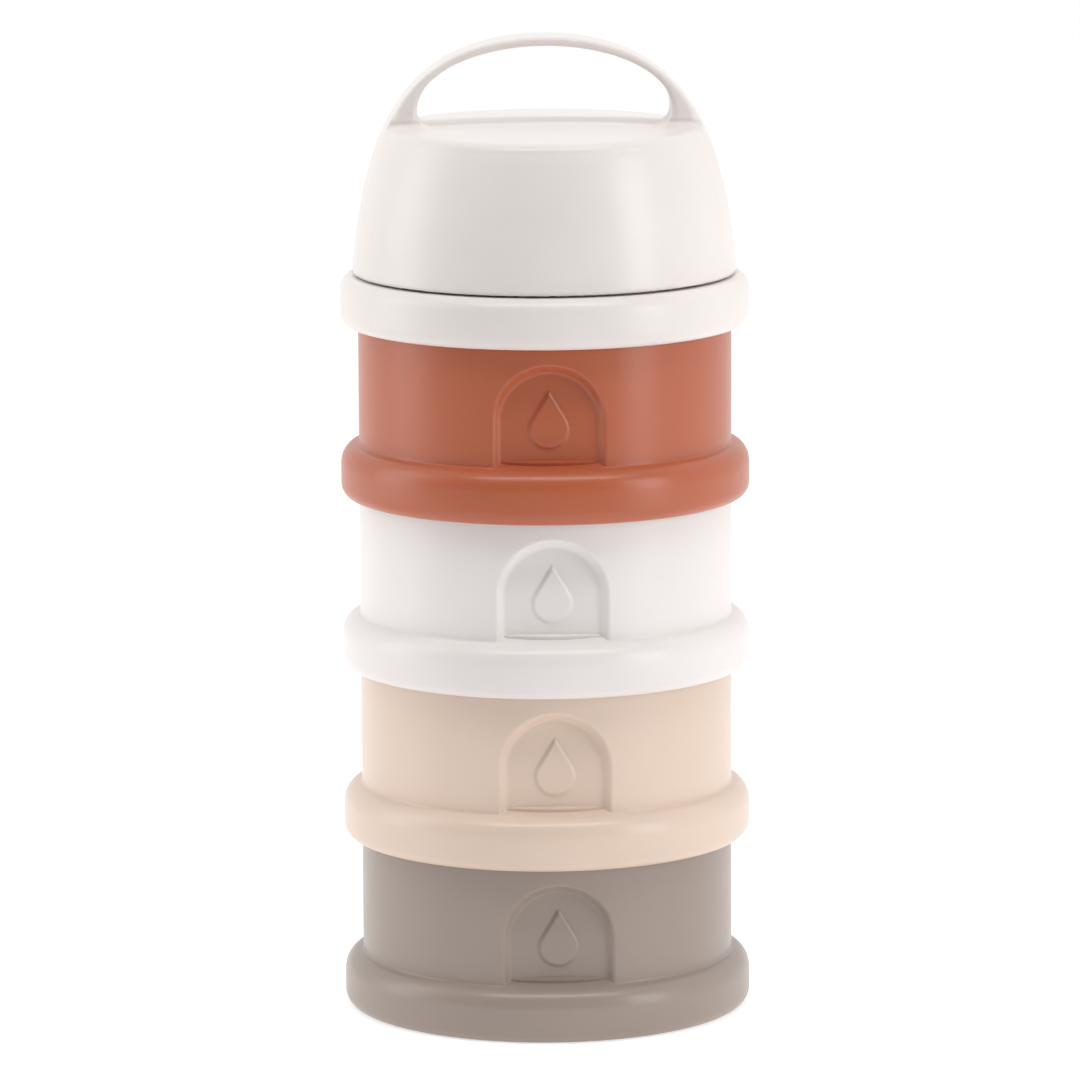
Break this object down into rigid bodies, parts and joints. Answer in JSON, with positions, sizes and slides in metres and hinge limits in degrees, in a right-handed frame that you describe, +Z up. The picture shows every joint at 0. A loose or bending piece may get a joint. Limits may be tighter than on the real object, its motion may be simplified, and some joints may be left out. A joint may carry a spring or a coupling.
{
  "type": "formula dispenser",
  "caption": "Stack of round screw-together powder compartments with thumb recesses, a pouring collar and a domed cap with a carrying handle.",
  "frame": {"origin": "middle of the base, on the surface that the stack stands on", "axes": "+Z up the stack's axis, thumb recesses facing -Y, handle arching along X"},
  "size_m": [0.095, 0.095, 0.2277],
  "materials": {
    "cream": "satin moulded",
    "terracotta": "satin moulded",
    "white": "satin moulded",
    "beige": "satin moulded",
    "taupe": "satin moulded",
    "seal": "soft silicone"
  },
  "bodies": {
    "compartment_1": {"compartment_1": "taupe"},
    "seal_1": {"seal_1": "seal"},
    "compartment_2": {"compartment_2": "beige"},
    "seal_2": {"seal_2": "seal"},
    "compartment_3": {"compartment_3": "white"},
    "seal_3": {"seal_3": "seal"},
    "compartment_4": {"compartment_4": "terracotta"},
    "seal_4": {"seal_4": "seal"},
    "spout_collar": {"spout_collar": "cream"},
    "cap_seal": {"cap_seal": "seal"},
    "cap": {"cap": "cream"}
  },
  "joints": [
    {"name": "compartment_2_lift", "type": "slide", "parent": "compartment_1", "child": "seal_1", "axis": [0, 0, 1], "range_m": [0, 0.012]},
    {"name": "compartment_2_twist", "type": "hinge", "parent": "seal_1", "child": "compartment_2", "pos_m": [0, 0, 0], "axis": [0, 0, 1], "range_deg": [0, 360]},
    {"name": "compartment_3_lift", "type": "slide", "parent": "compartment_2", "child": "seal_2", "axis": [0, 0, 1], "range_m": [0, 0.012]},
    {"name": "compartment_3_twist", "type": "hinge", "parent": "seal_2", "child": "compartment_3", "pos_m": [0, 0, 0], "axis": [0, 0, 1], "range_deg": [0, 360]},
    {"name": "compartment_4_lift", "type": "slide", "parent": "compartment_3", "child": "seal_3", "axis": [0, 0, 1], "range_m": [0, 0.012]},
    {"name": "compartment_4_twist", "type": "hinge", "parent": "seal_3", "child": "compartment_4", "pos_m": [0, 0, 0], "axis": [0, 0, 1], "range_deg": [0, 360]},
    {"name": "collar_lift", "type": "slide", "parent": "compartment_4", "child": "seal_4", "axis": [0, 0, 1], "range_m": [0, 0.012]},
    {"name": "collar_twist", "type": "hinge", "parent": "seal_4", "child": "spout_collar", "pos_m": [0, 0, 0], "axis": [0, 0, 1], "range_deg": [0, 360]},
    {"name": "cap_lift", "type": "slide", "parent": "spout_collar", "child": "cap_seal", "axis": [0, 0, 1], "range_m": [0, 0.024]},
    {"name": "cap_twist", "type": "hinge", "parent": "cap_seal", "child": "cap", "pos_m": [0, 0, 0], "axis": [0, 0, 1], "range_deg": [0, 360]}
  ],
  "couplings": [
    {"joint": "compartment_2_lift", "follows": "compartment_2_twist", "m_per_rad": 0.0019099},
    {"joint": "compartment_3_lift", "follows": "compartment_3_twist", "m_per_rad": 0.0019099},
    {"joint": "compartment_4_lift", "follows": "compartment_4_twist", "m_per_rad": 0.0019099},
    {"joint": "collar_lift", "follows": "collar_twist", "m_per_rad": 0.0019099},
    {"joint": "cap_lift", "follows": "cap_twist", "m_per_rad": 0.0038197}
  ]
}
